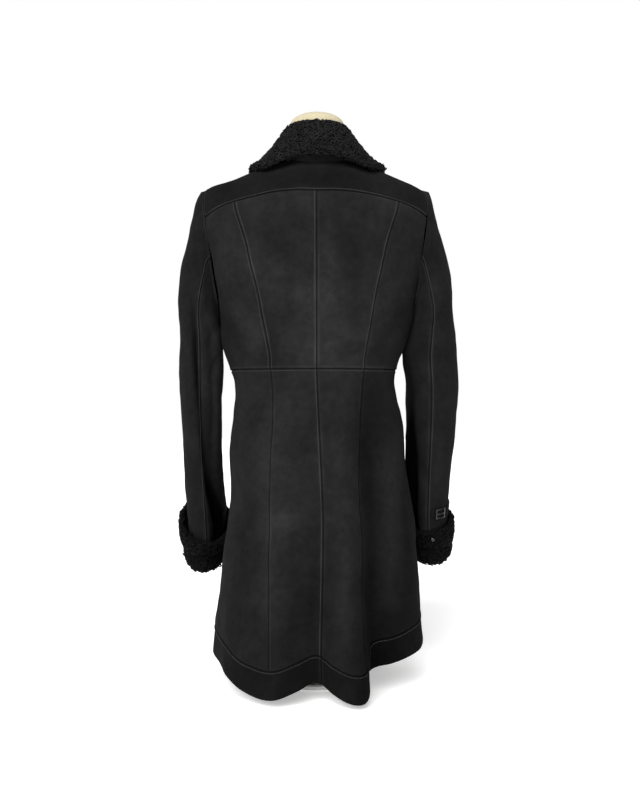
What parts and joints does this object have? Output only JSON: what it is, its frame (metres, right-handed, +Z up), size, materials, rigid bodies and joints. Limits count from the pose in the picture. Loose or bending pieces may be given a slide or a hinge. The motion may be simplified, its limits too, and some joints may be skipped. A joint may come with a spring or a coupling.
{
  "type": "shearling coat on a dress form",
  "caption": "Fitted knee-length black shearling coat with princess seams, a flared skirt, curly turned collar and turned-up cuffs, worn by a limbless dress form on a low foot",
  "frame": {"origin": "on the floor, under the middle of the whole object's box", "axes": "+Z up, the coat's front faces -Y, its back +Y, the wearer's left is +X"},
  "size_m": [0.5076, 0.3608, 0.9919],
  "materials": {
    "suede": "matt napped suede side of shearling, near black",
    "curly_wool": "short curly wool worn outwards, black",
    "form_linen": "smooth cream cotton cover",
    "stand_steel": "off-white powder coat",
    "buckle_metal": "bright small hardware",
    "button_horn": "black, semi-gloss"
  },
  "bodies": {
    "root": {"back_side_left": "suede", "back_centre_left": "suede", "back_centre_right": "suede", "back_side_right": "suede", "yoke": "suede", "front_left": "suede", "front_right": "suede", "skirt_side_back_left": "suede", "skirt_centre_back_left": "suede", "skirt_centre_back_right": "suede", "skirt_side_back_right": "suede", "skirt_front_right": "suede", "skirt_front_left": "suede", "hem_back_left": "suede", "hem_back_right": "suede", "hem_front_right": "suede", "hem_front_left": "suede", "sleeve_top_left": "suede", "sleeve_under_left": "suede", "cuff_left": "curly_wool", "collar_left": "curly_wool", "sleeve_top_right": "suede", "sleeve_under_right": "suede", "cuff_right": "curly_wool", "collar_right": "curly_wool", "cuff_strap": "suede", "strap_buckle": "buckle_metal", "buckle_prong": "buckle_metal", "strap_keeper": "suede", "cuff_stud": "buckle_metal", "button_1": "button_horn", "button_2": "button_horn", "button_3": "button_horn", "button_4": "button_horn", "form_torso": "form_linen", "form_neck_cap": "form_linen", "stand_foot": "stand_steel", "stand_pole": "stand_steel"}
  },
  "joints": []
}
